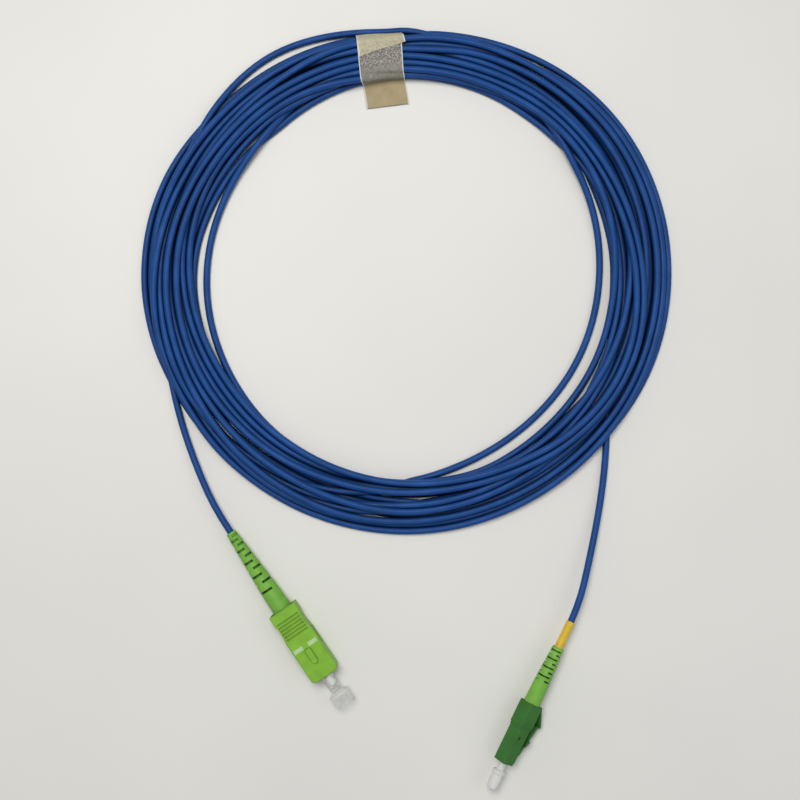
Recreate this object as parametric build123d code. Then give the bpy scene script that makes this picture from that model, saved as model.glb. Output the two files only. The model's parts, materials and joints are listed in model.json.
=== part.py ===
from build123d import *
import math
import os

# A fiber optic patch cord: one simplex cord wound into a flat round coil and tied with a strip of
# tape, an SC/APC plug on one end and an LC/APC plug on the other, each with its dust cap on.
# Units are millimetres. The layout is drawn about the coil's centre with the floor at z = 0, and
# the finished part is then moved so that its origin is the bottom centre of its own box.

# ---- Driving dimensions: cord and coil ----
CORD_D = 2.0
BUFFER_D = 0.9
COIL_HALF_X = 80.6
COIL_HALF_Y = 75.6
COIL_INNER_R = 57.5
COIL_INNER_CENTRE = (-1.5, 2.0)
COIL_HEIGHT = 4.9
COIL_EDGE_R = 1.9

# ---- Tape ----
TAPE_ANGLE = 7.0
TAPE_WIDTH = 13.5
TAPE_THICKNESS = 0.2
TAPE_BUNDLE_WIDTH = 14.6
TAPE_BUNDLE_OUTER_Y = 75.0
TAPE_CORNER_R = 2.0
TAPE_TAIL_LENGTH = 7.4

# ---- Routes of the two tails, from the plug to the coil ----
# Each is a list of points in the layout, chosen by hand.
SC_ROUTE = [
    (-52.83, -74.37, 3.7),
    (-57.2, -67.9, 3.2),
    (-61.8, -58.3, 2.3),
    (-66.2, -47.0, 1.5),
    (-69.4, -36.0, 1.2),
    (-71.6, -25.0, 1.2),
]
LC_ROUTE = [
    (48.36, -100.6, 5.42),
    (50.9, -95.0, 5.1),
    (53.5, -84.5, 4.0),
    (56.3, -72.0, 2.4),
    (58.5, -59.0, 1.3),
    (59.4, -47.0, 1.2),
]

# ---- Plug poses: the front face's centre in the layout, the heading and the roll ----
SC_FRONT = (-24.23, -116.77)
SC_HEADING = -56.0
LC_FRONT = (28.3, -142.3)
LC_HEADING = -115.7
LC_ROLL = -129.5

# ---- SC plug, along X with the mating face at x = 0 and the key up ----
SC_WIDTH = 9.0
SC_HEIGHT = 7.4
SC_LENGTH = 23.5
SC_WAIST = 8.2
SC_NOSE_R = 1.3
SC_FERRULE_D = 2.5
SC_FERRULE_OUT = 3.6
SC_FERRULE_LENGTH = 10.5
SC_FRAME_WIDTH = 7.0
SC_FRAME_HEIGHT = 5.4
SC_BOOT_END = -51.0
SC_BOOT_ROOT_D = 5.9
SC_BOOT_TIP_D = 3.0
SC_SLOTS = [30.7, 33.5, 35.9, 38.4, 40.6, 42.8, 44.8, 46.7, 48.3, 49.8]
SC_SLOT_WIDTH = 0.72
SC_WEB_ANGLE = 32.0

# ---- LC plug, along X with the mating face at x = 0 and the latch up ----
LC_SIDE = 4.5
LC_COLLAR_SIDE = 4.76
LC_REAR_SIDE = 5.1
LC_LENGTH = 19.3
LC_FERRULE_D = 1.25
LC_FERRULE_OUT = 1.8
LC_FERRULE_LENGTH = 6.5
LC_BOOT_END = -37.6
LC_BOOT_ROOT_D = 5.0
LC_BOOT_TIP_D = 3.6
LC_SLEEVE_END = -46.1
LC_SLEEVE_D = 2.55
LC_SLOTS = [26.9, 28.3, 29.7, 31.1, 32.5, 33.9, 35.3, 36.5]
LC_SLOT_WIDTH = 0.48
LC_WEB_ANGLE = 64.0
LATCH_PIVOT = (-3.6, 2.75)
LATCH_TIP = (-13.2, 5.3)
LATCH_WIDTH = 3.4
TRIGGER_PIVOT = (-18.7, 3.0)
TRIGGER_TIP = (-13.0, 6.35)
TRIGGER_WIDTH = 3.6

# ---- Common to both plugs ----
APC_ANGLE = 8.0
BOOT_CORE_D = 2.5
SLOT_ARC = 124.0
GAP = 0.1


# ---- Helpers ----
def rod(back, front, diameter):
    """A cylinder along X."""
    return Pos((back + front) / 2, 0, 0) * Rot(0, 90, 0) * Cylinder(diameter / 2, front - back)


def pipe(back, front, outer, inner):
    """A hollow cylinder along X."""
    return rod(back, front, outer) - rod(back, front, inner)


def block(back, front, width, height, corner=0.0):
    """A box along X, centred on the axis, with its long edges rounded."""
    body = Pos((back + front) / 2, 0, 0) * Box(front - back, width, height)
    if corner:
        body = fillet(body.edges().filter_by(Axis.X), corner)
    return body


def turned(*profile):
    """A solid of revolution about X from (x, radius) points."""
    return revolve(make_face(Polyline(*profile, close=True)), Axis.X)


def side_plate(points, width):
    """A plate drawn in the XZ plane and given a width across Y, centred on the axis."""
    face = make_face(Plane.XZ * Polyline(*points, close=True))
    return extrude(face, width / 2, dir=(0, 1, 0), both=True)


def coil_spring(back, front, mean_d, wire_d, turns):
    """A compression spring along X."""
    height = front - back - wire_d
    path = Helix(pitch=height / turns, height=height, radius=mean_d / 2)
    section = Plane(origin=path @ 0, z_dir=path % 0) * Circle(wire_d / 2)
    return Pos(back + wire_d / 2, 0, 0) * Rot(0, 90, 0) * sweep(section, path=path)


def ferrule(out, length, diameter):
    """A ceramic ferrule whose end face is ground at the APC angle, with a chamfered rim."""
    body = rod(out - length, out, diameter)
    body = chamfer(body.edges().filter_by(GeomType.CIRCLE).sort_by(Axis.X)[-1], diameter * 0.12)
    cutter = Pos(out + 2, 0, 0) * Rot(0, APC_ANGLE, 0) * Pos(-0.1, 0, 0) * Box(4, 8, 8)
    return body - cutter


def slot_pair(station, width, core_d, web_angle):
    """Two opposite slots cut from a boot down to its core, which leave two webs."""
    inner = core_d / 2
    outer = 6.0
    back = station - width / 2
    front = station + width / 2
    section = make_face(Polyline((back, inner), (front, inner), (front, outer), (back, outer), close=True))
    sector = revolve(section, Axis.X, revolution_arc=SLOT_ARC)
    start = web_angle + (180 - SLOT_ARC) / 2
    return Rot(start, 0, 0) * sector + Rot(start + 180, 0, 0) * sector


def boot(profile, stations, slot_width, web_angle):
    """A turned strain relief whose slots turn by a quarter from one station to the next."""
    body = turned(*profile)
    for index, station in enumerate(stations):
        body -= slot_pair(-station, slot_width, BOOT_CORE_D, web_angle + 90 * (index % 2))
    return body


# ---- SC plug ----
def sc_grip():
    """The push-pull housing, with its key, grip ribs, side windows, waist and rear flare."""
    body = sc_shell()
    body -= block(-SC_LENGTH - 1, 1, SC_FRAME_WIDTH + 2 * GAP, SC_FRAME_HEIGHT + 2 * GAP)
    body -= block(-SC_LENGTH - 1, -14.6, 7.6, 6.3)
    window = Pos(-11.9, 0, 0) * Box(5.8, 12, 2.6)
    body -= fillet(window.edges().filter_by(Axis.Y), 0.4)
    for side in (1, -1):
        for rib in range(6):
            groove = Pos(-20.4 + 1.05 * rib, 0, side * SC_HEIGHT / 2) * Box(0.5, 7.2, 0.5)
            body -= groove
    for side in (1, -1):
        body -= Pos(-10.9, side * 2.45, SC_HEIGHT / 2) * Box(1.3, 3.1, 0.3)
    return body + sc_key()


def sc_shell():
    """The housing's outer shape: round front corners, and a waist beside the grip ribs."""
    half = SC_WIDTH / 2
    waist = SC_WAIST / 2
    side = [
        (0, half), (-14.2, half), (-16.4, waist + 0.1), (-17.4, waist), (-19.2, waist),
        (-20.4, half - 0.1), (-SC_LENGTH, half - 0.1),
    ]
    outline = make_face(Polyline(*side, *[(x, -y) for x, y in reversed(side)], close=True))
    body = Pos(0, 0, -SC_HEIGHT / 2) * extrude(outline, SC_HEIGHT)
    body = fillet(body.edges().filter_by(Axis.Z).group_by(Axis.X)[-1], SC_NOSE_R)
    rims = [edge for edge in body.edges().filter_by(Plane.XY) if edge.center().X > 0.1 - SC_LENGTH]
    return fillet(rims, 0.45)


def sc_key():
    """The polarity key on top, round at its front end."""
    top = SC_HEIGHT / 2
    bar = Pos(-7.9, 0, top + 0.15) * Box(4.0, 1.7, 1.1)
    nose = Pos(-5.9, 0, top + 0.15) * Cylinder(0.85, 1.1)
    return bar + nose


def sc_marks():
    """The two white pull-proof marks inlaid beside the key."""
    floor = SC_HEIGHT / 2 - 0.15
    marks = [Pos(-10.9, side * 2.45, floor + 0.09) * Box(1.3, 3.1, 0.18) for side in (1, -1)]
    return Compound(marks)


def sc_plug_frame():
    """The inner frame that holds the ferrule and latches in an adapter."""
    body = block(-20.0, -0.6, SC_FRAME_WIDTH, SC_FRAME_HEIGHT, 0.3)
    body = chamfer(body.faces().sort_by(Axis.X)[-1].edges(), 0.25)
    for side in (1, -1):
        body += Pos(-12.5, side * 3.85, 0) * Box(3.0, 0.9, 2.1)
    body -= rod(-7.0, 0, 4.9)
    body -= rod(-9, -6, 3.6)
    body -= rod(-21, -8.0, 4.6)
    return body


def sc_flange():
    """The metal holder pressed on the ferrule; the spring bears on its collar."""
    return turned(
        (-13.5, 0.6), (-6.9, 0.6), (-6.9, 1.25), (-4.6, 1.25), (-4.6, 1.7),
        (-8.0, 1.7), (-8.0, 2.2), (-9.8, 2.2), (-9.8, 1.2), (-13.5, 1.2),
    )


def sc_stop_ring():
    """The rear body that closes the frame and carries the crimp."""
    return turned(
        (-25.6, 1.3), (-13.8, 1.3), (-13.8, 2.25), (-20.0, 2.25), (-20.0, 2.65),
        (-20.8, 2.65), (-20.8, 1.8), (-25.6, 1.8),
    )


def sc_crimp_sleeve():
    """The sleeve that grips the aramid yarn at its front and the jacket at its rear."""
    return turned(
        (-29.4, 1.0), (-26.2, 1.0), (-25.7, 1.95), (-21.0, 1.95), (-21.0, 2.3),
        (-26.0, 2.3), (-26.5, 1.4), (-29.4, 1.4),
    )


def sc_boot():
    """The long slotted boot; its root sits inside the grip."""
    tip = SC_BOOT_TIP_D / 2
    root = SC_BOOT_ROOT_D / 2
    profile = [
        (SC_BOOT_END, 1.0), (-29.5, 1.0), (-29.5, 1.45), (-26.6, 1.45), (-26.1, 2.35), (-20.9, 2.35),
        (-20.9, root), (-25.0, root), (-30.0, root - 0.12), (SC_BOOT_END + 1.2, tip + 0.1),
        (SC_BOOT_END, tip),
    ]
    return boot(profile, SC_SLOTS, SC_SLOT_WIDTH, SC_WEB_ANGLE)


def sc_dust_cap():
    """The clear cap pushed over the ferrule, with a wide cupped end to pull."""
    return turned(
        (-3.4, 1.29), (SC_FERRULE_OUT + 0.8, 1.29), (SC_FERRULE_OUT + 1.2, 0.0), (7.4, 0.0),
        (7.4, 2.4), (10.4, 2.6), (10.4, 3.2), (9.9, 3.35), (6.4, 3.35), (5.6, 1.9), (-3.4, 1.9),
    )


# ---- LC plug ----
def lc_body():
    """The square front housing that holds the ferrule."""
    body = block(-13.4, 0, LC_SIDE, LC_SIDE, 0.25)
    top = LC_SIDE / 2
    body -= side_plate([(-1.5, top), (0.1, top - 0.6), (0.1, top + 1), (-1.5, top + 1)], LC_SIDE + 1)
    body += block(-13.4, -11.4, LC_COLLAR_SIDE, LC_COLLAR_SIDE, 0.25)
    body -= rod(-5.0, 1, 3.4)
    body -= rod(-7, -4, 2.0)
    body -= rod(-14, -6.0, 3.6)
    body -= Pos(-8.6, -LC_SIDE / 2, -0.7) * Box(0.9, 0.6, 0.7)
    return body


def lc_rear_body():
    """The rear housing, whose thin rim clips over the front housing's collar."""
    body = block(-LC_LENGTH, -12.1, LC_REAR_SIDE, LC_REAR_SIDE, 0.3)
    mouth = LC_COLLAR_SIDE + 0.04
    body -= block(-13.4, -12.0, mouth, mouth, 0.25)
    body -= rod(-20, -13, 4.3)
    return body


def lc_latch():
    """The latch arm, rising to the rear from its root, with the two shoulders that catch."""
    root_x, root_z = LATCH_PIVOT
    tip_x, tip_z = LATCH_TIP
    thick = 0.7
    arm = side_plate(
        [
            (root_x, root_z - 0.35), (root_x, root_z + 0.35),
            (tip_x, tip_z + 0.3), (tip_x, tip_z + 0.3 - thick),
        ],
        LATCH_WIDTH,
    )
    arm += Pos(root_x, 0, root_z) * Rot(90, 0, 0) * Cylinder(0.35, LATCH_WIDTH)
    rise = (tip_z + 0.3 - root_z - 0.35) / (tip_x - root_x)
    low = root_z + 0.35 + rise * (-6.4 - root_x)
    high = root_z + 0.35 + rise * (-8.4 - root_x)
    shoulders = [
        (-6.4, low - 0.05), (-8.4, high + 0.35),
        (-8.4, high - thick), (-6.4, low - thick + 0.1),
    ]
    arm += side_plate(shoulders, 4.2)
    return arm


def lc_trigger():
    """The clip that rises from the rear housing and presses on the latch arm's end."""
    root_x, root_z = TRIGGER_PIVOT
    tip_x, tip_z = TRIGGER_TIP
    plate = side_plate(
        [
            (root_x, root_z - 0.3), (root_x, root_z + 0.3), (tip_x - 0.6, tip_z), (tip_x, tip_z),
            (tip_x, tip_z - 0.5), (tip_x - 0.5, tip_z - 0.5), (tip_x - 1.0, tip_z - 0.8),
        ],
        TRIGGER_WIDTH,
    )
    plate += Pos(root_x, 0, root_z) * Rot(90, 0, 0) * Cylinder(0.3, TRIGGER_WIDTH)
    return plate


def lc_flange():
    """The metal holder pressed on the LC ferrule."""
    return turned(
        (-10.0, 0.5), (-4.7, 0.5), (-4.7, 0.625), (-3.2, 0.625), (-3.2, 0.9),
        (-6.0, 0.9), (-6.0, 1.6), (-7.4, 1.6), (-7.4, 0.8), (-10.0, 0.8),
    )


def lc_back_post():
    """The metal post that closes the front housing and carries the crimp."""
    return turned(
        (-18.6, 0.9), (-11.4, 0.9), (-11.4, 1.8), (-13.4, 1.8), (-13.4, 2.1),
        (-14.2, 2.1), (-14.2, 1.3), (-18.6, 1.3),
    )


def lc_crimp_sleeve():
    """The stepped sleeve over the post's barrel and the jacket."""
    return turned(
        (-21.6, 1.0), (-19.2, 1.0), (-18.8, 1.4), (-14.4, 1.4), (-14.4, 1.7),
        (-19.0, 1.7), (-19.4, 1.3), (-21.6, 1.3),
    )


def lc_boot():
    """The LC boot; its neck sits inside the rear housing."""
    tip = LC_BOOT_TIP_D / 2
    root = LC_BOOT_ROOT_D / 2
    profile = [
        (LC_BOOT_END, 1.0), (-21.7, 1.0), (-21.7, 1.35), (-19.5, 1.35), (-19.1, 1.72), (-17.6, 1.72),
        (-17.6, 2.15), (-LC_LENGTH, 2.15), (-LC_LENGTH, root), (-26.0, root - 0.1),
        (LC_BOOT_END + 0.4, tip), (LC_BOOT_END, tip - 0.15),
    ]
    return boot(profile, LC_SLOTS, LC_SLOT_WIDTH, LC_WEB_ANGLE)


def lc_dust_cap():
    """The milky cap pushed over the LC ferrule, with a ring and a round grip."""
    return turned(
        (-2.6, 0.66), (LC_FERRULE_OUT + 0.5, 0.66), (LC_FERRULE_OUT + 0.7, 0.0), (9.0, 0.0),
        (9.0, 0.9), (8.4, 1.5), (7.6, 1.7), (4.1, 1.6), (3.9, 1.95), (2.8, 1.95), (2.5, 1.15), (-2.6, 1.15),
    )


# ---- Cord, coil and tape, in the layout ----
def corner_radii(points):
    """The largest radius that each corner of a route allows."""
    vectors = [Vector(*point) for point in points]
    radii = []
    for before, corner, after in zip(vectors, vectors[1:], vectors[2:]):
        shorter = min((corner - before).length, (after - corner).length)
        turn = (corner - before).get_angle(after - corner)
        radii.append(0.45 * shorter / math.tan(math.radians(turn) / 2))
    return radii


def cord_tube(name, points):
    """A plain tube along a route, and a line that prints its radii and its volume."""
    radii = corner_radii(points)
    path = FilletPolyline(*points, radius=radii)
    section = Plane(origin=path @ 0, z_dir=path % 0) * Circle(CORD_D / 2)
    tube = sweep(section, path=path)
    expected = math.pi * CORD_D ** 2 / 4 * path.length
    print(name, "radii", [round(radius, 1) for radius in radii], "length", round(path.length, 1),
          "volume ratio", round(tube.volume / expected, 4))
    return tube


def coil_ring():
    """The outer shape of the coil, necked where the tape ties it."""
    outline = Ellipse(COIL_HALF_X, COIL_HALF_Y) - Pos(*COIL_INNER_CENTRE) * Circle(COIL_INNER_R)
    ring = extrude(outline, COIL_HEIGHT)
    ring = fillet(ring.edges().filter_by(Plane.XY), COIL_EDGE_R)
    station = Pos(0, TAPE_BUNDLE_OUTER_Y - TAPE_BUNDLE_WIDTH / 2, COIL_HEIGHT / 2)
    slab = station * Box(TAPE_WIDTH, 2 * TAPE_BUNDLE_WIDTH, 2 * COIL_HEIGHT)
    return ring - Rot(0, 0, TAPE_ANGLE) * (slab - tape_tube(0.0))


def tape_tube(thickness):
    """The rounded prism that the tape wraps, grown by a thickness."""
    width = TAPE_BUNDLE_WIDTH + 2 * thickness
    height = COIL_HEIGHT - 2 * TAPE_THICKNESS + 2 * thickness
    centre = Pos(0, TAPE_BUNDLE_OUTER_Y - TAPE_BUNDLE_WIDTH / 2, COIL_HEIGHT / 2)
    prism = Box(TAPE_WIDTH, width, height)
    return centre * fillet(prism.edges().filter_by(Axis.X), TAPE_CORNER_R + thickness)


def tape():
    """One strip round the bundle, with its loose end lying on the floor inside the coil."""
    inner_edge = TAPE_BUNDLE_OUTER_Y - TAPE_BUNDLE_WIDTH
    band = tape_tube(TAPE_THICKNESS) - tape_tube(0.0)
    tail_length = TAPE_TAIL_LENGTH + TAPE_CORNER_R
    tail = Box(TAPE_WIDTH - 0.6, tail_length, TAPE_THICKNESS)
    tail = Pos(0.3, inner_edge + TAPE_CORNER_R - tail_length / 2, TAPE_THICKNESS / 2) * tail
    return Rot(0, 0, TAPE_ANGLE) * (band + tail)


# ---- Assembly ----
def sc_nodes():
    """Every piece of the SC plug, along X."""
    ferrule_back = SC_FERRULE_OUT - SC_FERRULE_LENGTH
    return {
        "sc_grip_housing": sc_grip(),
        "sc_pull_proof_marks": sc_marks(),
        "sc_plug_frame": sc_plug_frame(),
        "sc_ferrule": ferrule(SC_FERRULE_OUT, SC_FERRULE_LENGTH, SC_FERRULE_D),
        "sc_ferrule_flange": sc_flange(),
        "sc_ferrule_spring": coil_spring(-13.8, -9.8, 3.5, 0.4, 4),
        "sc_stop_ring": sc_stop_ring(),
        "sc_crimp_sleeve": sc_crimp_sleeve(),
        "sc_aramid_yarn": pipe(-25.4, -21.2, 3.9, 3.6),
        "sc_buffered_fiber": rod(SC_BOOT_END, ferrule_back - 1.4, BUFFER_D),
        "sc_cord_end": pipe(SC_BOOT_END, -26.6, CORD_D, BUFFER_D),
        "sc_boot": sc_boot(),
        "sc_dust_cap": sc_dust_cap(),
    }


def lc_nodes():
    """Every piece of the LC plug, along X."""
    return {
        "lc_front_housing": lc_body(),
        "lc_rear_housing": lc_rear_body(),
        "lc_latch": lc_latch(),
        "lc_trigger": lc_trigger(),
        "lc_ferrule": ferrule(LC_FERRULE_OUT, LC_FERRULE_LENGTH, LC_FERRULE_D),
        "lc_ferrule_flange": lc_flange(),
        "lc_ferrule_spring": coil_spring(-11.4, -7.4, 2.3, 0.3, 4.5),
        "lc_back_post": lc_back_post(),
        "lc_crimp_sleeve": lc_crimp_sleeve(),
        "lc_aramid_yarn": pipe(-18.5, -14.6, 2.8, 2.6),
        "lc_buffered_fiber": rod(LC_SLEEVE_END, LC_FERRULE_OUT - LC_FERRULE_LENGTH - 1.3, BUFFER_D),
        "lc_cord_end": pipe(LC_SLEEVE_END, -19.4, CORD_D, BUFFER_D),
        "lc_boot": lc_boot(),
        "lc_heat_shrink_sleeve": pipe(LC_SLEEVE_END, LC_BOOT_END, LC_SLEEVE_D, CORD_D),
        "lc_dust_cap": lc_dust_cap(),
    }


def build():
    """All nodes in the layout."""
    lean = math.radians(180 + LC_ROLL)
    lc_axis_z = TRIGGER_TIP[1] * math.cos(lean) + TRIGGER_WIDTH / 2 * math.sin(lean)
    sc_place = Pos(*SC_FRONT, SC_HEIGHT / 2) * Rot(0, 0, SC_HEADING)
    lc_place = Pos(*LC_FRONT, lc_axis_z) * Rot(0, 0, LC_HEADING) * Rot(LC_ROLL, 0, 0)
    nodes = {name: sc_place * shape for name, shape in sc_nodes().items()}
    nodes.update({name: lc_place * shape for name, shape in lc_nodes().items()})
    for name, place, back in (("sc", sc_place, SC_BOOT_END), ("lc", lc_place, LC_SLEEVE_END)):
        print(name, "cord exit", (place * Pos(back, 0, 0)).position)
    coil = coil_ring()
    nodes["cord_coil"] = coil
    nodes["cord_tail_sc"] = cord_tube("sc tail", SC_ROUTE) - coil
    nodes["cord_tail_lc"] = cord_tube("lc tail", LC_ROUTE) - coil
    nodes["tape_tie"] = tape()
    return nodes


def main():
    os.makedirs("parts", exist_ok=True)
    nodes = build()
    box = Compound(list(nodes.values())).bounding_box()
    centre = box.center()
    shift = Pos(-centre.X, -centre.Y, -box.min.Z)
    print("layout origin in the row frame", -centre.X, -centre.Y, -box.min.Z, "size", box.size)
    for name, shape in nodes.items():
        export_step(shift * shape, f"parts/{name}.step")


main()
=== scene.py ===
import json
import math

import bpy
import numpy as np
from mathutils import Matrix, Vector


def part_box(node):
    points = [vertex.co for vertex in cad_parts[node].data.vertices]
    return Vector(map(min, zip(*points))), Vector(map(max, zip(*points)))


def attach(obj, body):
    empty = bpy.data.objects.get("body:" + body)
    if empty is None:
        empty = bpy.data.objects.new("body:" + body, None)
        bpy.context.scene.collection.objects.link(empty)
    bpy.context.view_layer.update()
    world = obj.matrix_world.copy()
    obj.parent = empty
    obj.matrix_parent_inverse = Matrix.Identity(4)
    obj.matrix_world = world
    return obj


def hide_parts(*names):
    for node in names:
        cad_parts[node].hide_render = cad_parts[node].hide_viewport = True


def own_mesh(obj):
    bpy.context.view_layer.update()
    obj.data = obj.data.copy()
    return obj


# A fibre optic patch cord, wound into a flat coil and tied with tape, with an SC/APC plug on one
# end and an LC/APC plug on the other. The layout below is drawn about the coil's centre.

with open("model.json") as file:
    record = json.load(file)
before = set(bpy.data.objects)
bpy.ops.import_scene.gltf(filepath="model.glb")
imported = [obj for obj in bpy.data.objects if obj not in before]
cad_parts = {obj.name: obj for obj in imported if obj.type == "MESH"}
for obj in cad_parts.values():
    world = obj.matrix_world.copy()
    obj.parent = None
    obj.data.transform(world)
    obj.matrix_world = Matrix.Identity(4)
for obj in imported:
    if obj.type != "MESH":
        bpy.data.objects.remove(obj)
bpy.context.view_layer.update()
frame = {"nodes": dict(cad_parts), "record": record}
NODES = frame["nodes"]
MM = 0.001

# ---- The cord and its coil ----
CORD_D = 0.002
# The drawn tube has flats, so its corners stand this far out for it to be as thick as the cord.
TUBE_CORNERS = 1.02
# from the CAD coil's edge at its lowest y to the coil's centre
COIL_HALF_Y = 0.0756
COIL_LOW, COIL_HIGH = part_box("cord_coil")
CENTRE = Vector(((COIL_LOW.x + COIL_HIGH.x) / 2, COIL_LOW.y + COIL_HALF_Y, 0.0))

# The tails, from the plug to the coil, in the layout. The drawn tube stops half a millimetre
# short of its last point, so that point lies that much inside the LC plug's sleeve.
SC_ROUTE = [
    (-0.05272, -0.07452, 0.0037),
    (-0.0572, -0.0679, 0.0032),
    (-0.0618, -0.0583, 0.0023),
    (-0.0662, -0.0470, 0.0015),
    (-0.0694, -0.0360, 0.0012),
    (-0.0716, -0.0250, 0.0012),
]
LC_ROUTE = [
    (0.04805, -0.10126, 0.00543),
    (0.0509, -0.0950, 0.0051),
    (0.0535, -0.0845, 0.0040),
    (0.0563, -0.0720, 0.0024),
    (0.0585, -0.0590, 0.0013),
    (0.0594, -0.0470, 0.0012),
]

# The coil's turns, in millimetres and in degrees clockwise from the top of the coil. What is
# counted back from the end starts where the cord passes the top of the coil for the last time.
# points on each turn, and how many whole turns lie between the entry and the exit
STATIONS = 72
WHOLE_TURNS = 16
ENTRY_ANGLE = 255.0
EXIT_ANGLE = 125.0
# the strand's diameter, and how far apart the centres of two strands are kept
STRAND = 2.0
STRAND_SPACE = 2.05
# how much higher the last turn is laid than the first one, before they all sink
LAY_HEIGHT = 8.0
# the highest that a strand's centre may settle, in the open and in the tape, and no such limit
HEAP_TOP = 5.0
TIED_TOP = 4.7
NO_LIMIT = 99.0
# where the tape goes round the coil and how high it lifts the strands off the floor; it ties them
# between these two angles, counted from the side opposite the tape, with a ramp at either end
TAPE_ANGLE = -7.0
TAPE_LIFT = 0.25
TIED_SPAN = (164, 196, 10)
# angle, inner radius and outer radius of the whole coil
COIL_EDGES = [
    (0, 61.0, 75.3), (24, 60.7, 77.4), (46, 60.0, 80.7), (68, 57.8, 81.2),
    (90, 55.8, 79.9), (112, 54.4, 79.0), (135, 54.0, 76.6), (157, 54.7, 75.4),
    (180, 56.1, 75.9), (203, 56.8, 77.1), (226, 58.2, 77.9), (248, 59.3, 78.4),
    (270, 58.9, 80.9), (292, 58.5, 80.6), (309, 58.9, 78.3), (324, 59.6, 76.9), (338, 60.4, 76.4),
    (351, 61.0, 75.2),
]
# the edges are averaged over this many degrees to each side, at so many places
EDGE_BLUR = 12
EDGE_PLACES = 13
# angle, and how far the heap keeps off the inner edge, where one strand lies there alone
CLEARANCE = [
    (0, 0), (36, 0), (48, 1.0), (60, 3.2), (74, 4.6), (158, 4.6), (167, 3.8), (177, 1.9), (190, 0),
    (232, 0), (244, 0.8), (256, 2.9), (270, 4.4), (280, 4.4), (294, 3.0), (306, 1.0), (318, 0), (360, 0),
]
# how fast the cord drifts across the coil, in cycles per turn, and by what share
DRIFTS = [(0.23, 0.60), (0.37, 0.50), (0.59, 0.35), (0.83, 0.16)]
DRIFT_SEED = 8
# how much of a point's lane is the drift itself, and how much its rank, which fills the coil evenly
DRIFT_SHARE = 0.1
RANK_SHARE = 0.9
# strands that cross over the others: angle and radius
OVER_LAST = [
    (94, 77.8), (101, 75.8), (111, 72.0), (122, 69.3), (133, 66.0), (146, 62.6), (161, 59.9),
    (182, 59.4), (210, 59.6), (242, 60.3), (252, 62.3), (266, 65.0), (273, 66.1), (286, 67.7),
    (298, 68.7), (311, 68.4), (328, 67.6), (346, 68.0),
]
OVER_BEFORE = [
    (94, 75.6), (101, 74.6), (111, 73.9), (122, 71.4), (133, 68.1), (146, 64.8), (161, 61.8),
    (182, 61.4), (210, 62.0),
]
# how many turns back each one's angles start, its way, and how much higher it is laid
OVER_WAYS = [(1, OVER_LAST, 3.0), (2, OVER_BEFORE, 2.0)]
# the stretches that lie alone at the inner edge, in degrees back
ALONE_SPANS = [(2860, 2684), (3744, 3622)]
# one strand that lies loose on the floor, outside the tape, as it comes past the top: angle and
# radius, which pass of the top it is, counted back, and over how many degrees it leaves its lane
WAY_LOOSE = [
    (-60, 77.0), (-50, 77.6), (-45, 78.3), (-39, 79.1), (-34, 79.4), (-30, 79.3), (-26, 78.9),
    (-22, 78.3), (-18, 77.5), (-14, 76.8), (-10, 76.1), (-6, 75.4), (-2, 74.9), (5, 74.9), (16, 75.8),
]
LOOSE_TURN = 13
LOOSE_RAMP = 14
# the first stretch, low on the outside, and the last one, which dives below the others: degrees
# past the entry or past the last pass of the top, and radius
WAY_IN = [(0, 75.6), (5, 76.1), (15, 77.2), (30, 78.0), (60, 76.5)]
WAY_OUT = [(-40, 62.5), (0, 62.3), (30, 61.8), (60, 61.5), (82, 62.3), (100, 62.8)]
# on the last stretch, where the dive reaches the floor, where it is held there, and where the
# cord runs straight, along the line between two points (x, y)
DIVE_DOWN = 30
DIVE_SUNK = 40
STRAIGHT_FROM = 85
EXIT_LINE = [(61.9, 8.0), (59.5, -41.5)]
# how often the cord's wish and its height are smoothed before it settles
WISH_SMOOTHING = 24
HEIGHT_SMOOTHING = 30

# How the turns settle. Each round they sink a little, are drawn to their wished radius, are
# straightened by their stiffness and are pushed apart where they overlap.
SETTLING_ROUNDS = 1400
SINK = 0.015
# how hard a point is drawn: the first fades out by half time except on held strands, and the
# others keep the second
PULL = 0.05
PULL_KEPT = 0.012
# the share of an overlap that one push takes away from each of the two
PUSH = 0.4
# up to which share of the rounds each stiffness holds
GIVES = [(0.6, 0.5), (0.9, 0.35), (1.0, 0.2)]
# from this share of the rounds on, the heap's top is pressed down
PRESSED_FROM = 0.5
STRAIGHTENINGS = 2
PUSHES = 3
# the first points stay where the tail meets the coil
TAIL_POINTS = 4
# stations beyond the cord's end are filled with points that lie far from it and from each other
FILL_RADIUS = -1000.0
FILL_SPACE = 50


def layout(x, y, z):
    """A point of the layout in the row frame, in metres."""
    return CENTRE + Vector((x, y, z))


# ---- How the cord's turns lie ----
def softened(values, times):
    """A list smoothed along the cord, with its ends kept."""
    for _ in range(times):
        inner = 0.25 * values[:-2] + 0.5 * values[1:-1] + 0.25 * values[2:]
        values = np.concatenate([values[:1], inner, values[-1:]])
    return values


def swell(angle, start, end, ramp):
    """0 outside the two angles and 1 well inside them."""
    t = np.minimum(np.clip((angle - start) / ramp, 0, 1), np.clip((end - angle) / ramp, 0, 1))
    return t * t * (3 - 2 * t)


def between(angle, start, end):
    return (angle > start) & (angle < end)


def line_radius(angle, start, end):
    """The radius at which a straight line from start to end meets each direction."""
    turn = np.radians(angle)
    run_x, run_y = end[0] - start[0], end[1] - start[1]
    return (start[0] * run_y - start[1] * run_x) / (np.sin(turn) * run_y - np.cos(turn) * run_x)


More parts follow.
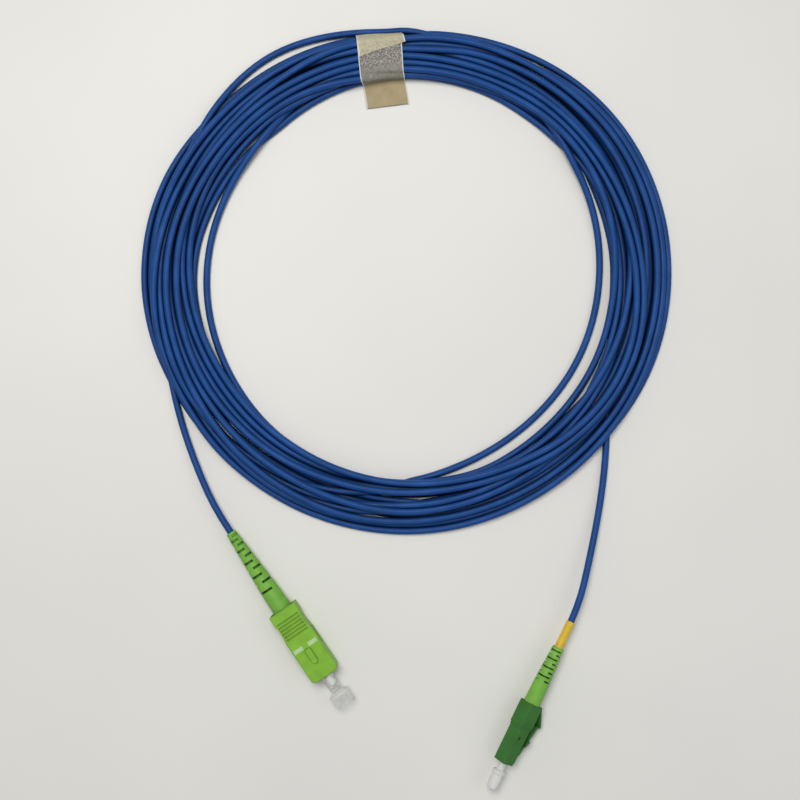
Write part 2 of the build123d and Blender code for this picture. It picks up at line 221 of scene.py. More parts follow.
def coil_limits(angle):
    """The smallest and largest radius that a strand's centre may have."""
    known = [edge[0] for edge in COIL_EDGES] + [360]
    inner = [edge[1] for edge in COIL_EDGES] + [COIL_EDGES[0][1]]
    outer = [edge[2] for edge in COIL_EDGES] + [COIL_EDGES[0][2]]
    nearby = np.linspace(-EDGE_BLUR, EDGE_BLUR, EDGE_PLACES)
    low = np.mean([np.interp((angle + s) % 360, known, inner) for s in nearby], axis=0)
    high = np.mean([np.interp((angle + s) % 360, known, outer) for s in nearby], axis=0)
    return low + STRAND / 2, high - STRAND / 2


def drifting_lane(count):
    """For each point, the lane it wishes for, from -1 at the inner edge to 1 at the outer one."""
    rng = np.random.default_rng(DRIFT_SEED)
    turn = np.arange(count) / STATIONS
    wave = sum(size * np.sin(2 * math.pi * (rate * turn + rng.random())) for rate, size in DRIFTS)
    even = 2 * (np.argsort(np.argsort(wave)) + 0.5) / count - 1
    return DRIFT_SHARE * wave + RANK_SHARE * even


def lay_over(angle, last, wish, height):
    """Lays the strands that cross over the others on their ways, and says which points they are."""
    held = np.zeros(len(angle), bool)
    for turns, way, lift in OVER_WAYS:
        base = last - 360 * turns
        inside = (angle >= base + way[0][0]) & (angle <= base + way[-1][0])
        wish[inside] = np.interp(angle[inside] - base, *zip(*way))
        height[inside] += lift
        held |= inside
    return held


def stretches(angle, last, base):
    """Which points are alone inside, loose, lying on the floor, in the first or in the last stretch."""
    alone = np.any([between(angle, last - start, last - end) for start, end in ALONE_SPANS], axis=0)
    loose = between(angle, base + WAY_LOOSE[0][0], base + WAY_LOOSE[-1][0])
    lying = between(angle, base + WAY_LOOSE[2][0], base + WAY_LOOSE[-3][0])
    first = angle < ENTRY_ANGLE + WAY_IN[-1][0]
    dive = angle > last + WAY_OUT[0][0]
    return alone, loose, lying, first, dive


def wound_turns():
    """The cord's wish before it settles, by name: one value for each of its points."""
    step = 360 / STATIONS
    count = round(((EXIT_ANGLE - ENTRY_ANGLE) % 360) / step) + WHOLE_TURNS * STATIONS + 1
    angle = ENTRY_ANGLE + step * np.arange(count)
    last = angle[-1] - EXIT_ANGLE
    low, high = coil_limits(angle)
    middle = (low + high) / 2
    clear = np.interp(angle % 360, *zip(*CLEARANCE))
    wish = (low + clear + high) / 2 + (high - low - clear) / 2 * drifting_lane(count)
    height = STRAND / 2 + np.linspace(0, LAY_HEIGHT, count)
    held = lay_over(angle, last, wish, height)
    base = last - 360 * (LOOSE_TURN - 1)
    alone, loose, lying, first, dive = stretches(angle, last, base)
    straight = angle > last + STRAIGHT_FROM
    wish[alone] = low[alone]
    wish[first] = np.interp(angle[first] - ENTRY_ANGLE, *zip(*WAY_IN))
    wish[dive] = np.interp(angle[dive] - last, *zip(*WAY_OUT))
    wish[straight] = line_radius(angle[straight] - last, *EXIT_LINE)
    dive_span = [WAY_OUT[0][0], DIVE_DOWN]
    height[dive] = np.interp(angle[dive] - last, dive_span, [height[dive][0], STRAND / 2])
    wish = np.where(straight, wish, middle + softened(wish - middle, WISH_SMOOTHING))
    share = swell(angle - base, WAY_LOOSE[0][0], WAY_LOOSE[-1][0], LOOSE_RAMP)
    wish += share * (np.interp(angle - base, *zip(*WAY_LOOSE)) - wish)
    low = np.where(straight, 0.0, low + np.where(alone | dive, 0.0, clear))
    high = np.where(straight | loose, NO_LIMIT, high)
    return {
        "angle": angle,
        "wish": np.clip(wish, low, high),
        "height": softened(height, HEIGHT_SMOOTHING),
        "low": low,
        "high": high,
        "middle": middle,
        "fixed": straight | lying,
        "held": held | alone | loose | dive,
        "sunk": lying | (angle > last + DIVE_SUNK),
    }


def pushed_apart(r, z, rows, away, one, two):
    """Moves the two of every pair of turns that overlap at a station away from each other."""
    wide = np.concatenate([r, away]).reshape(rows, STATIONS)
    tall = np.concatenate([z, 0 * away]).reshape(rows, STATIONS)
    dr = wide[one] - wide[two]
    dz = tall[one] - tall[two]
    gap = np.hypot(dr, dz) + 1e-9
    push = PUSH * np.clip(STRAND_SPACE - gap, 0, None) / gap
    move_r = np.zeros_like(wide)
    move_z = np.zeros_like(tall)
    for rows_of, sign in ((one, 1), (two, -1)):
        np.add.at(move_r, rows_of, sign * push * dr)
        np.add.at(move_z, rows_of, sign * push * dz)
    count = len(r)
    return (wide + move_r).reshape(-1)[:count], (tall + move_z).reshape(-1)[:count]


def straighten(values, give):
    """Moves each point of the cord towards the middle of its two neighbours."""
    values[1:-1] += give * (0.5 * (values[:-2] + values[2:]) - values[1:-1])


def settled_turns():
    """Lets the turns sink and push each other aside until they lie as a heap of real cord does."""
    cord = wound_turns()
    angle, wish, middle, z = cord["angle"], cord["wish"], cord["middle"], cord["height"]
    rows = math.ceil(len(angle) / STATIONS)
    away = FILL_RADIUS - FILL_SPACE * np.arange(rows * STATIONS - len(angle))
    one, two = np.triu_indices(rows, 1)
    by_tape = swell((angle - TAPE_ANGLE + 180) % 360, *TIED_SPAN)
    ground = STRAND / 2 + np.where(cord["sunk"], 0.0, TAPE_LIFT * by_tape)
    roof = np.where(cord["held"], NO_LIMIT, HEAP_TOP + (TIED_TOP - HEAP_TOP) * by_tape)
    r = wish.copy()
    for done in range(SETTLING_ROUNDS):
        t = done / SETTLING_ROUNDS
        z -= SINK
        pull = np.where(cord["held"], PULL, PULL * max(0.0, 1 - 2 * t) + PULL_KEPT)
        off = r - middle + pull * (wish - r)
        give = next(value for until, value in GIVES if t < until)
        for _ in range(STRAIGHTENINGS):
            straighten(off, give)
            straighten(z, give)
        r = off + middle
        for _ in range(PUSHES):
            r, z = pushed_apart(r, z, rows, away, one, two)
            r = np.clip(r, cord["low"], cord["high"])
            z = np.clip(z, ground, roof if t > PRESSED_FROM else NO_LIMIT)
            r[cord["fixed"]] = wish[cord["fixed"]]
            z[cord["sunk"]] = STRAND / 2
            r[:TAIL_POINTS] = wish[:TAIL_POINTS]
            z[:TAIL_POINTS] = STRAND / 2
    return angle, r, z


TURNS = settled_turns()


def coil_points():
    """The coil's points in the layout, in metres."""
    angle, r, z = TURNS
    turn = np.radians(angle)
    return [tuple(MM * v for v in p) for p in zip(r * np.sin(turn), r * np.cos(turn), z)]


def nurbs_curve(name, points, radius):
    """A smooth open curve with these control points, a tube if it has a radius."""
    data = bpy.data.curves.new(name, "CURVE")
    data.dimensions = "3D"
    spline = data.splines.new("NURBS")
    spline.points.add(len(points) - 1)
    for control, point in zip(spline.points, points):
        control.co = (*layout(*point), 1.0)
        control.radius = radius
    spline.order_u = 3
    spline.use_endpoint_u = True
    data.resolution_u = 3
    data.bevel_depth = 1.0 if radius else 0.0
    data.bevel_resolution = 4
    data.use_fill_caps = True
    curve = bpy.data.objects.new(name, data)
    bpy.context.scene.collection.objects.link(curve)
    return curve


def curve_length(points):
    """The length of the NURBS curve that has these control points."""
    bare = nurbs_curve("bare_line", points, 0.0)
    bpy.context.view_layer.update()
    graph = bpy.context.evaluated_depsgraph_get()
    mesh = bpy.data.meshes.new_from_object(bare.evaluated_get(graph))
    line = [v.co.copy() for v in mesh.vertices]
    bpy.data.objects.remove(bare)
    bpy.data.meshes.remove(mesh)
    return sum((b - a).length for a, b in zip(line, line[1:]))


def make_cord():
    """The whole cord, from plug to plug, as one tube."""
    points = SC_ROUTE + coil_points() + LC_ROUTE[::-1]
    cord = nurbs_curve("cord", points, CORD_D / 2 * TUBE_CORNERS)
    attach(cord, "cord")
    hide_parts("cord_coil", "cord_tail_sc", "cord_tail_lc")
    cord.data.materials.append(MATERIALS["jacket_blue"])
    round(curve_length(points), 2)


# ---- The tape, in millimetres: v runs outward along the coil's radius, u across the tape ----
TAPE_THICK = 0.12
# from a strand's centre to the middle of the first layer of tape, and to that of the second
UNDER_TAPE = 1.08
OVER_TAPE = 1.24
# points across the strip, points on a half loop of it, directions tried for a line pulled tight,
# and half the width over which the strip's shape is worked out
TAPE_COLUMNS = 33
HALF_LOOP_POINTS = 160
WRAP_DIRECTIONS = 241
TAPE_HALF = 6.75
# the rows of each part of the strip: the first layer, the tab with its fold, the underside, the lap
FIRST_ROWS = 70
TAB_ROWS = 60
UNDER_ROWS = 30
LAP_ROWS = 60
# the strip starts this far along its first layer, hidden below the lap, and the layer ends at this
# height on the coil's inner side
FIRST_FROM = 0.14
FIRST_DOWN_TO = 1.8
# between strands the tape sags by a share of the gap below it, where it is above this height
SAG = 0.3
SAG_GAP = 1.2
SAG_ABOVE = 3.0
NOTHING_BELOW = -9
# where the band's underside begins, in degrees, and where the tab folds back
UNDERSIDE_FROM = 262
TAB_END = 53.2
# the tab's height where it leaves the coil, how much it curls up over this run and how much that
# varies across it, and how far apart its two layers lie
TAB_HEIGHT = 0.22
TAB_CURL = 0.35
CURL_VARIES = 0.08
CURL_RUN = 7
TAB_LAYERS = 0.125
# how far along the strip, and its left and right edge there
TAPE_SIDES = [
    (0.0, -6.4, 7.0), (0.22, -6.7, 6.3), (0.32, -6.1, 6.6), (0.42, -5.8, 6.9), (0.53, -6.2, 6.6),
    (0.75, -6.5, 6.8), (0.86, -6.5, 7.05), (1.0, -6.2, 7.9),
]
# the slanted end of the lap on top, as (u, v)
CREAM_ENDS = [(-6.75, 67.7), (-2.0, 69.0), (2.0, 69.6), (6.75, 70.6)]


def strands_at(u):
    """The centres (v, z) of the strands inside the tape, u off its middle line."""
    angle, r, z = TURNS
    loose = angle[-1] - EXIT_ANGLE + TAPE_ANGLE - 360 * (LOOSE_TURN - 1)
    centres = []
    for start in np.arange(TAPE_ANGLE + 360, angle[-1], 360):
        if start == loose:
            continue
        spot = start
        for _ in range(2):
            spot = start + math.degrees(math.asin(u / np.interp(spot, angle, r)))
        radius = np.interp(spot, angle, r)
        centres.append((math.sqrt(radius**2 - u**2), np.interp(spot, angle, z)))
    return np.array(centres)


def wrapped(centres, radius, start, end):
    """The line of a band pulled tight round the strands, between two directions in degrees."""
    line = []
    for turn in np.radians(np.linspace(start, end, WRAP_DIRECTIONS)):
        way = np.array([math.cos(turn), math.sin(turn)])
        line.append(centres[np.argmax(centres @ way)] + radius * way)
    return np.array(line)


def evenly(line, count, start=0.0, end=1.0):
    """Points spaced evenly along a line, between two shares of its length."""
    steps = np.hypot(*np.diff(line, axis=0).T)
    along = np.concatenate([[0], np.cumsum(steps)])
    spots = along[-1] * np.linspace(start, end, count)
    return np.stack([np.interp(spots, along, line[:, side]) for side in (0, 1)], axis=1)


def sunk_in(line, centres, radius):
    """The band's top, drawn down a little between the strands."""
    v, z = line[:, :1], line[:, 1]
    rise = np.sqrt(np.clip(radius**2 - (v - centres[:, 0]) ** 2, 0, None))
    below = np.where(rise > 0, centres[:, 1] + rise, NOTHING_BELOW).max(axis=1)
    slack = np.where(z > SAG_ABOVE, np.clip(z - below, 0, SAG_GAP), 0)
    return np.stack([line[:, 0], z - SAG * slack], axis=1)


def top_layer(centres, radius):
    """The half loop of tape over the top of the strands."""
    return sunk_in(evenly(wrapped(centres, radius, 0, 180), HALF_LOOP_POINTS), centres, radius)


def tab_line(u, inner_v):
    """From the coil's inner side down to the floor, out along the tab and folded back under it."""
    curl = TAB_CURL + CURL_VARIES * math.sin(u)
    down = [
        (inner_v + 0.02, 1.6), (inner_v - 0.05, 0.8), (inner_v - 0.35, 0.36), (inner_v - 0.9, 0.24),
    ]
    out = np.linspace(inner_v - 1.6, TAB_END, 12)
    tab = [(v, TAB_HEIGHT + curl * ((inner_v - v) / CURL_RUN) ** 2) for v in out]
    fold = [(TAB_END - 0.06, tab[-1][1] - 0.04), (TAB_END, tab[-1][1] - 0.1)]
    back = [(v, z - TAB_LAYERS) for v, z in tab[::-1]]
    under = [(inner_v + 0.6, 0.1), (inner_v + 1.4, 0.13)]
    return np.array(down + tab + fold + back + under)


def tape_column(u):
    """The strip's line (v, z) at u, from its hidden start to its slanted end over the top."""
    centres = strands_at(u)
    first = top_layer(centres, UNDER_TAPE)
    second = top_layer(centres, OVER_TAPE)
    bottom = wrapped(centres, UNDER_TAPE, UNDERSIDE_FROM, 360)
    over = first[first[:, 1] > FIRST_DOWN_TO]
    lap = second[second[:, 0] > np.interp(u, *zip(*CREAM_ENDS))]
    parts = [
        evenly(over, FIRST_ROWS, FIRST_FROM, 1.0),
        evenly(tab_line(u, first[:, 0].min()), TAB_ROWS),
        evenly(bottom, UNDER_ROWS),
        evenly(lap, LAP_ROWS),
    ]
    return np.concatenate(parts)


def tape_grid():
    """The strip's points (u, v, z) by row and column, each row's share of its length, and that."""
    across = np.linspace(-TAPE_HALF, TAPE_HALF, TAPE_COLUMNS)
    columns = np.stack([tape_column(u) for u in across], axis=1)
    for _ in range(3):
        columns[:, 1:-1] = 0.25 * columns[:, :-2] + 0.5 * columns[:, 1:-1] + 0.25 * columns[:, 2:]
    columns[1:-1] = 0.25 * columns[:-2] + 0.5 * columns[1:-1] + 0.25 * columns[2:]
    steps = np.hypot(*np.diff(columns[:, TAPE_COLUMNS // 2], axis=0).T)
    share = np.concatenate([[0], np.cumsum(steps)]) / steps.sum()
    known = [side[0] for side in TAPE_SIDES]
    left = np.interp(share, known, [side[1] for side in TAPE_SIDES])
    right = np.interp(share, known, [side[2] for side in TAPE_SIDES])
    part = (across + TAPE_HALF) / (2 * TAPE_HALF)
    u = left[:, None] + (right - left)[:, None] * part[None, :]
    return u, columns[:, :, 0], columns[:, :, 1], share, steps.sum()


def make_tape():
    """The strip of tape, with what its material needs to know about each point."""
    u, v, z, share, length = tape_grid()
    turn = math.radians(TAPE_ANGLE)
    x = MM * (u * math.cos(turn) + v * math.sin(turn))
    y = MM * (v * math.cos(turn) - u * math.sin(turn))
    rows, columns = u.shape
    points = [layout(*p) for p in zip(x.ravel(), y.ravel(), MM * z.ravel())]
    faces = [
        (i * columns + j, i * columns + j + 1, (i + 1) * columns + j + 1, (i + 1) * columns + j)
        for i in range(rows - 1) for j in range(columns - 1)
    ]
    mesh = bpy.data.meshes.new("tape")
    mesh.from_pydata(points, [], faces)
    mesh.shade_smooth()
    edge = np.abs(np.linspace(-1, 1, columns))[None, :] * np.ones((rows, 1))
    marks = {
        "along": np.repeat(length * share, columns),
        "edge": edge.ravel(),
        "stretch": np.repeat(share, columns),
    }
    for name, values in marks.items():
        mesh.attributes.new(name, "FLOAT", "POINT").data.foreach_set("value", values)
    tape = bpy.data.objects.new("tape", mesh)
    bpy.context.scene.collection.objects.link(tape)
    solid = tape.modifiers.new("thickness", "SOLIDIFY")
    solid.thickness = MM * TAPE_THICK
    solid.offset = 0.0
    mesh.materials.append(MATERIALS["masking_tape"])
    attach(tape, "cord")
    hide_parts("tape_tie")


# ---- Materials ----
def linked(tree, kind, **inputs):
    """A new node of this kind. Each input is a value, or another node's output socket."""
    node = tree.nodes.new(kind)
    for key, value in inputs.items():
        socket = node.inputs[key.replace("_", " ")]
        if isinstance(value, bpy.types.NodeSocket):
            tree.links.new(value, socket)
        else:
            socket.default_value = value
    return node


def material(name, colour, roughness, **settings):
    """A new material whose shader takes these values, its tree, its shader and its coordinates."""
    made = bpy.data.materials.new(name)
    made.use_nodes = True
    tree = made.node_tree
    shader = tree.nodes["Principled BSDF"]
    shader.inputs["Base Color"].default_value = (*colour, 1)
    shader.inputs["Roughness"].default_value = roughness
    for key, value in settings.items():
        shader.inputs[key.replace("_", " ")].default_value = value
    place = tree.nodes.new("ShaderNodeTexCoord").outputs["Object"]
    return made, tree, shader, place


def noise(tree, place, scale, detail=3.0, rough=0.55):
    settings = {"Scale": scale, "Detail": detail, "Roughness": rough}
    return linked(tree, "ShaderNodeTexNoise", Vector=place, **settings).outputs["Fac"]


def ramp(tree, fac, stops):
    """A colour for each value of fac: stops are (value, colour)."""
    node = linked(tree, "ShaderNodeValToRGB", Fac=fac)
    elements = node.color_ramp.elements
    while len(elements) < len(stops):
        elements.new(0.5)
    for element, (value, colour) in zip(elements, stops):
        element.position = value
        element.color = (*colour, 1)
    return node.outputs["Color"]


def spread(tree, fac, low, high, new_low, new_high):
    """A value mapped from one range to another, and kept inside it."""
    ends = {"From_Min": low, "From_Max": high, "To_Min": new_low, "To_Max": new_high}
    return linked(tree, "ShaderNodeMapRange", Value=fac, **ends).outputs["Result"]


def product(tree, first, second):
    node = tree.nodes.new("ShaderNodeMath")
    node.operation = "MULTIPLY"
    tree.links.new(first, node.inputs[0])
    tree.links.new(second, node.inputs[1])
    return node.outputs[0]


def shaded(colour, share):
    return tuple(min(1.0, c * share) for c in colour)


def stretched(tree, place, scale):
    """The coordinates scaled by a different amount along each axis."""
    return linked(tree, "ShaderNodeMapping", Vector=place, Scale=scale).outputs["Vector"]


# the Mix node's sockets for colours, which share their names with those for other values
MIX_FACTOR = 0
MIX_COLOURS = (6, 7)
MIX_RESULT = 2


def mixed(tree, fac, first, second):
    """The first colour, turning to the second as fac rises. A colour is a value or a socket."""
    node = tree.nodes.new("ShaderNodeMix")
    node.data_type = "RGBA"
    tree.links.new(fac, node.inputs[MIX_FACTOR])
    for index, value in zip(MIX_COLOURS, (first, second)):
        if isinstance(value, bpy.types.NodeSocket):
            tree.links.new(value, node.inputs[index])
        else:
            node.inputs[index].default_value = (*value, 1)
    return node.outputs[MIX_RESULT]


def bumped(tree, shader, heights, edge=0.0):
    """Gives the shader a normal with each height (value, depth in mm), on edges rounded a little."""
    normal = None
    if edge:
        normal = linked(tree, "ShaderNodeBevel", Radius=edge * MM).outputs["Normal"]
    for height, depth in heights:
        node = linked(tree, "ShaderNodeBump", Height=height, Distance=depth * MM, Strength=1.0)
        if normal:
            tree.links.new(normal, node.inputs["Normal"])
        normal = node.outputs["Normal"]
    tree.links.new(normal, shader.inputs["Normal"])


def shadowed(tree, colour, reach, painted_shade):
    """The colour, turning to a painted shade in the slots and gaps whose sides come within reach (mm).
    """
    openness = linked(tree, "ShaderNodeAmbientOcclusion", Distance=reach * MM)
    openness.samples = 8
    closed = spread(tree, openness.outputs["AO"], 0.2, 0.85, 1.0, 0.0)
    return mixed(tree, closed, colour, painted_shade)


def moulded(name, colour, roughness, grain, edge, reach=0.9, painted_shade=0.15, **settings):
    """A moulded plastic: colour and gloss vary softly, with a fine spark-eroded grain and painted shade
    in its slots and gaps.
    """
    made, tree, shader, place = material(name, colour, roughness, **settings)
    cloud = noise(tree, place, 260, 4)
    fine = noise(tree, place, 5200, 2)
    shades = ramp(tree, cloud, [(0.3, shaded(colour, 0.88)), (0.7, shaded(colour, 1.1))])
    # shade painted into the slots and gaps, darker the closer their sides lie
    tree.links.new(shadowed(tree, shades, reach, shaded(colour, painted_shade)), shader.inputs["Base Color"])
    gloss = spread(tree, noise(tree, place, 700, 3), 0.3, 0.7, roughness - 0.06, roughness + 0.08)
    tree.links.new(gloss, shader.inputs["Roughness"])
    bumped(tree, shader, [(fine, grain), (cloud, 0.02)], edge)
    return made


def jacket():
    """A soft PVC jacket: satin, faintly uneven along the cord, with fine pores, scuffs and painted shade
    between the strands.
    """
    colour = (0.0078, 0.063, 0.252)
    made, tree, shader, place = material("jacket_blue", colour, 0.5, Specular_IOR_Level=0.2)
    cloud = noise(tree, place, 120, 4)
    fine = noise(tree, place, 4200, 3)
    stops = [(0.3, shaded(colour, 0.82)), (0.55, colour), (0.75, (0.013, 0.080, 0.30))]
    shades = ramp(tree, cloud, stops)
    scuff = spread(tree, noise(tree, place, 900, 5, 0.7), 0.62, 0.78, 0.0, 0.35)
    worn = mixed(tree, scuff, shades, (0.026, 0.100, 0.34))
    # shade painted between the strands, where they lie close
    tree.links.new(shadowed(tree, worn, 2.8, shaded(colour, 0.12)), shader.inputs["Base Color"])
    gloss = spread(tree, noise(tree, place, 650, 4), 0.3, 0.7, 0.42, 0.58)
    tree.links.new(gloss, shader.inputs["Roughness"])
    bumped(tree, shader, [(fine, 0.012), (noise(tree, place, 700, 2), 0.03)])
    return made


def linked_attribute(tree, name):
    node = tree.nodes.new("ShaderNodeAttribute")
    node.attribute_name = name
    return node.outputs["Fac"]


# the shares of the strip's length where the tab begins and where the lap over the top does
TAB_FROM = 0.30
LAP_FROM = 0.74
CREAM = (0.52, 0.49, 0.33)
# the grey is the tape's cream with painted shade, for the single layer curving down over the cord
SHADE_GREY = (0.235, 0.228, 0.190)
TAN = (0.395, 0.315, 0.175)


def tape_colours(tree, place, part, mottle):
    """Grey painted shade on the first layer, where one layer curves down over the cord; cream where two
    layers lie, tan on the tab.
    """
    cream_stops = [(0.3, shaded(CREAM, 0.8)), (0.55, CREAM), (0.7, shaded(CREAM, 1.2))]
    grey_stops = [(0.3, shaded(SHADE_GREY, 0.7)), (0.5, SHADE_GREY), (0.72, (0.34, 0.32, 0.28))]
    tan_stops = [(0.3, shaded(TAN, 0.9)), (0.7, shaded(TAN, 1.06))]
    creams = ramp(tree, mottle, cream_stops)
    greys = ramp(tree, mottle, grey_stops)
    tans = ramp(tree, noise(tree, place, 330, 3), tan_stops)
    on_lap = spread(tree, part, LAP_FROM, LAP_FROM + 0.01, 0.0, 1.0)
    on_tab = spread(tree, part, TAB_FROM, TAB_FROM + 0.02, 0.0, 1.0)
    return mixed(tree, on_lap, mixed(tree, on_tab, greys, tans), creams)


def tape_specks(tree, place, part, body):
    """Pale and dark specks near the strip's start, and faint ones at its end."""
    specks = noise(tree, place, 2100, 3, 0.6)
    pale = spread(tree, specks, 0.36, 0.46, 1.0, 0.0)
    dark = spread(tree, specks, 0.50, 0.60, 0.0, 1.0)
    near_start = spread(tree, part, 0.16, 0.21, 1.0, 0.0)
    near_end = spread(tree, part, 0.92, 0.99, 0.0, 1.0)
    body = mixed(tree, product(tree, near_start, pale), body, (0.50, 0.46, 0.43))
    body = mixed(tree, product(tree, near_start, dark), body, (0.14, 0.115, 0.125))
    return mixed(tree, product(tree, near_end, dark), body, (0.33, 0.30, 0.24))


def masking_tape():
    """Creped paper tape with a pale cut edge on both sides."""
    made, tree, shader, place = material("masking_tape", CREAM, 0.62, Specular_IOR_Level=0.35)
    along = linked_attribute(tree, "along")
    part = linked_attribute(tree, "stretch")
    edge = linked_attribute(tree, "edge")
    mottle = noise(tree, place, 1500, 5, 0.65)
    body = tape_specks(tree, place, part, tape_colours(tree, place, part, mottle))
    rim = spread(tree, edge, 0.945, 0.975, 0.0, 1.0)
    tree.links.new(mixed(tree, rim, body, (0.80, 0.81, 0.77)), shader.inputs["Base Color"])
    lines = linked(tree, "ShaderNodeCombineXYZ", X=spread(tree, along, 0, 100, 0, 260), Y=edge)
    crepe = noise(tree, lines.outputs["Vector"], 1.0, 4.0, 0.6)
    bumped(tree, shader, [(crepe, 0.05), (mottle, 0.05)])
    return made


def metal(name, colour, roughness, lines):
    """A plated or drawn metal with fine marks of its making."""
    made, tree, shader, place = material(name, colour, roughness, Metallic=1.0)
    marks = noise(tree, stretched(tree, place, lines), 1.0, 4)
    shades = ramp(tree, marks, [(0.3, shaded(colour, 0.9)), (0.7, shaded(colour, 1.08))])
    tree.links.new(shades, shader.inputs["Base Color"])
    gloss = spread(tree, marks, 0.3, 0.7, roughness - 0.07, roughness + 0.1)
    tree.links.new(gloss, shader.inputs["Roughness"])
    bumped(tree, shader, [(marks, 0.006)], 0.06)
    return made


def translucent(name, colour, roughness, grain, **settings):
    """A see-through or milky moulding with faint flow marks."""
    made, tree, shader, place = material(name, colour, roughness, **settings)
    flow = noise(tree, stretched(tree, place, (500, 260, 500)), 1.0, 3)
    shades = ramp(tree, flow, [(0.3, shaded(colour, 0.95)), (0.7, colour)])
    tree.links.new(shades, shader.inputs["Base Color"])
    gloss = spread(tree, flow, 0.3, 0.7, roughness - 0.04, roughness + 0.06)
    tree.links.new(gloss, shader.inputs["Roughness"])
    bumped(tree, shader, [(flow, grain)], 0.1)
    return made


def yarn():
    """Aramid yarn: fine yellow fibres that run along the cord."""
    colour = (0.72, 0.50, 0.09)
    made, tree, shader, place = material("aramid", colour, 0.55, Sheen_Weight=0.3)
    fibres = noise(tree, stretched(tree, place, (5200, 900, 5200)), 1.0, 4)
    shades = ramp(tree, fibres, [(0.3, shaded(colour, 0.6)), (0.7, shaded(colour, 1.15))])
    tree.links.new(shades, shader.inputs["Base Color"])
    bumped(tree, shader, [(fibres, 0.06)])
    return made


def heat_shrink():
    """A shrunk sleeve: satin, with shallow wrinkles round the cord."""
    colour = (0.72, 0.47, 0.014)
    made, tree, shader, place = material("heat_shrink_yellow", colour, 0.4, Specular_IOR_Level=0.5)
    wrinkle = noise(tree, stretched(tree, place, (260, 1100, 260)), 1.0, 3)
    cloud = noise(tree, place, 420, 3)
    shades = ramp(tree, cloud, [(0.3, shaded(colour, 0.87)), (0.7, (0.78, 0.53, 0.03))])
    tree.links.new(shades, shader.inputs["Base Color"])
    gloss = spread(tree, wrinkle, 0.3, 0.7, 0.33, 0.5)
    tree.links.new(gloss, shader.inputs["Roughness"])
    bumped(tree, shader, [(wrinkle, 0.05), (noise(tree, place, 3600, 2), 0.01)], 0.08)
    return made


LIGHT_GREEN = (0.215, 0.455, 0.045)
BOOT_GREEN = (0.178, 0.435, 0.055)
DARK_GREEN = (0.042, 0.165, 0.030)
# Each moulded plastic's reach and share set how far and how dark shade is painted into its slots and
# gaps: near black in the boot's slots, far under the dark green latch, and barely at all on the white
# buffer and ferrule.
MATERIALS = {
    "jacket_blue": jacket(),
    "plastic_light_green": moulded(
        "plastic_light_green", LIGHT_GREEN, 0.4, 0.012, 0.12, Specular_IOR_Level=0.12,
    ),
    "boot_light_green": moulded(
        "boot_light_green", BOOT_GREEN, 0.5, 0.016, 0.1, painted_shade=0.05, Specular_IOR_Level=0.3,
    ),
    "plastic_dark_green": moulded(
        "plastic_dark_green", DARK_GREEN, 0.45, 0.010, 0.1, reach=2.0, Specular_IOR_Level=0.22,
    ),
    "white_ink": moulded("white_ink", (0.40, 0.60, 0.27), 0.6, 0.012, 0.0),
    "buffer_white": moulded("buffer_white", (0.80, 0.80, 0.77), 0.4, 0.006, 0.0, painted_shade=0.8),
    "zirconia": moulded(
        "zirconia", (0.90, 0.89, 0.86), 0.16, 0.002, 0.05,
        painted_shade=0.9, Coat_Weight=0.4, Coat_Roughness=0.05,
    ),
    "nickel": metal("nickel", (0.66, 0.63, 0.57), 0.26, (900, 4200, 900)),
    "spring_steel": metal("spring_steel", (0.56, 0.56, 0.57), 0.22, (1500, 1500, 1500)),
    "aramid": yarn(),
    "heat_shrink_yellow": heat_shrink(),
    "clear_plastic": translucent(
        "clear_plastic", (0.95, 0.96, 0.95), 0.12, 0.02,
        Transmission_Weight=0.92, IOR=1.46, Alpha=0.42,
    ),
    "milky_plastic": translucent(
        "milky_plastic", (0.90, 0.90, 0.88), 0.34, 0.02, Transmission_Weight=0.35, IOR=1.46,
    ),
    "masking_tape": masking_tape(),
}


def finish_nodes():
    """Gives every CAD node the finish of its slot."""
    slots = {part["node"]: part["material_slot"] for part in frame["record"]["subparts"]}
    for name, node in NODES.items():
        for slot in node.material_slots:
            slot.material = MATERIALS[slots[name]]


# ---- The springs behind the ferrules ----
def make_spring(piece, node):
    """A copy of the CAD spring in steel, hung on the cord's body in place of the CAD node."""
    spring = bpy.data.objects.new(piece, NODES[node].data.copy())
    bpy.context.scene.collection.objects.link(spring)
    spring.data.materials.clear()
    spring.data.materials.append(MATERIALS["spring_steel"])
    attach(spring, "cord")
    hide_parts(node)
    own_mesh(spring)


# ---- Stage ----
CAMERA_AIM = layout(-0.0024, -0.0351, 0.0)
CAMERA_HEIGHT = 0.45
LENS_MM = 67.5
SENSOR_MM = 36.0
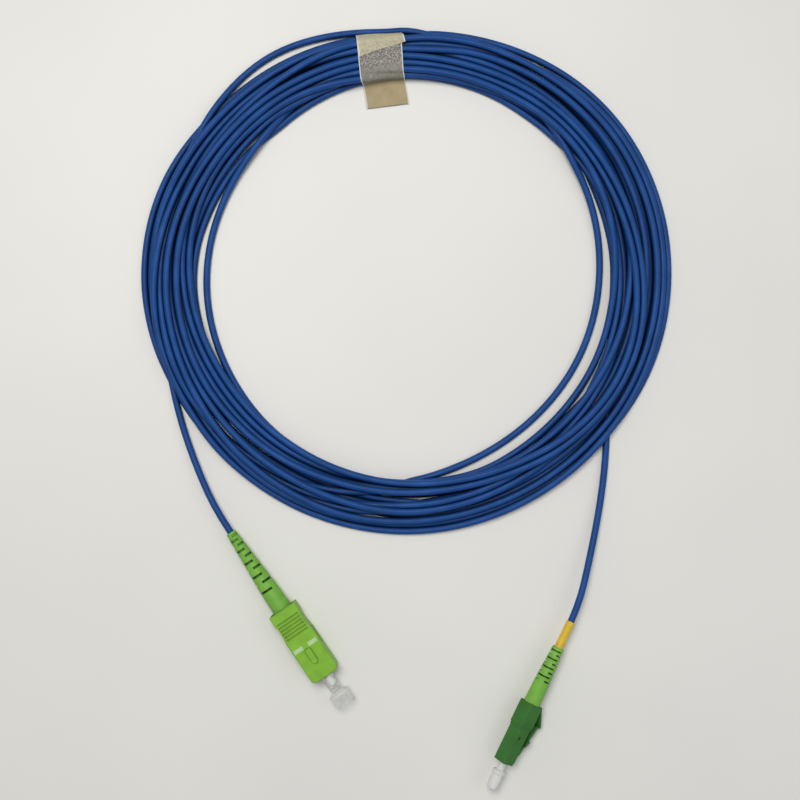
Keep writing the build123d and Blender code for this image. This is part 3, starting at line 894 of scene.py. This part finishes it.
# name, place from the camera's aim, size, power and colour of each light
LIGHTS = [
    ("key", (-0.13, 0.24, 0.90), 0.40, 5.6, (1.0, 0.975, 0.93)),
    ("fill", (0.60, -0.10, 0.80), 0.7, 1.2, (0.94, 0.97, 1.0)),
]
WORLD_COLOUR = (0.93, 0.95, 1.0, 1)
WORLD_STRENGTH = 0.33
FLOOR_SIZE = 6.0
FLOOR_COLOUR = (0.74, 0.735, 0.70)
FLOOR_SHADES = [(0.3, (0.72, 0.715, 0.685)), (0.7, (0.76, 0.755, 0.72))]


def make_camera():
    data = bpy.data.cameras.new("camera")
    data.lens = LENS_MM
    data.sensor_width = SENSOR_MM
    camera = bpy.data.objects.new("camera", data)
    camera.location = CAMERA_AIM + Vector((0, 0, CAMERA_HEIGHT))
    bpy.context.scene.collection.objects.link(camera)
    bpy.context.scene.camera = camera


def area_light(name, place, size, power, colour):
    """A square light that looks at the middle of the picture."""
    data = bpy.data.lights.new(name, "AREA")
    data.size = size
    data.energy = power
    data.color = colour
    light = bpy.data.objects.new(name, data)
    light.location = CAMERA_AIM + Vector(place)
    light.rotation_euler = Vector(place).to_track_quat("Z", "Y").to_euler()
    bpy.context.scene.collection.objects.link(light)


def make_floor():
    bpy.ops.mesh.primitive_plane_add(size=FLOOR_SIZE, location=(0, 0, 0))
    floor = bpy.context.object
    floor.name = "floor"
    made, tree, shader, place = material("floor_white", FLOOR_COLOUR, 0.45)
    shades = ramp(tree, noise(tree, place, 9, 3), FLOOR_SHADES)
    tree.links.new(shades, shader.inputs["Base Color"])
    floor.data.materials.append(made)


def make_stage():
    make_floor()
    for name, place, size, power, colour in LIGHTS:
        area_light(name, place, size, power, colour)
    world = bpy.data.worlds.new("world")
    world.use_nodes = True
    background = world.node_tree.nodes["Background"]
    background.inputs["Color"].default_value = WORLD_COLOUR
    background.inputs["Strength"].default_value = WORLD_STRENGTH
    bpy.context.scene.world = world
    bpy.context.scene.view_settings.view_transform = "Standard"


make_camera()
make_stage()
finish_nodes()
make_spring("sc_spring", "sc_ferrule_spring")
make_spring("lc_spring", "lc_ferrule_spring")
make_cord()
make_tape()
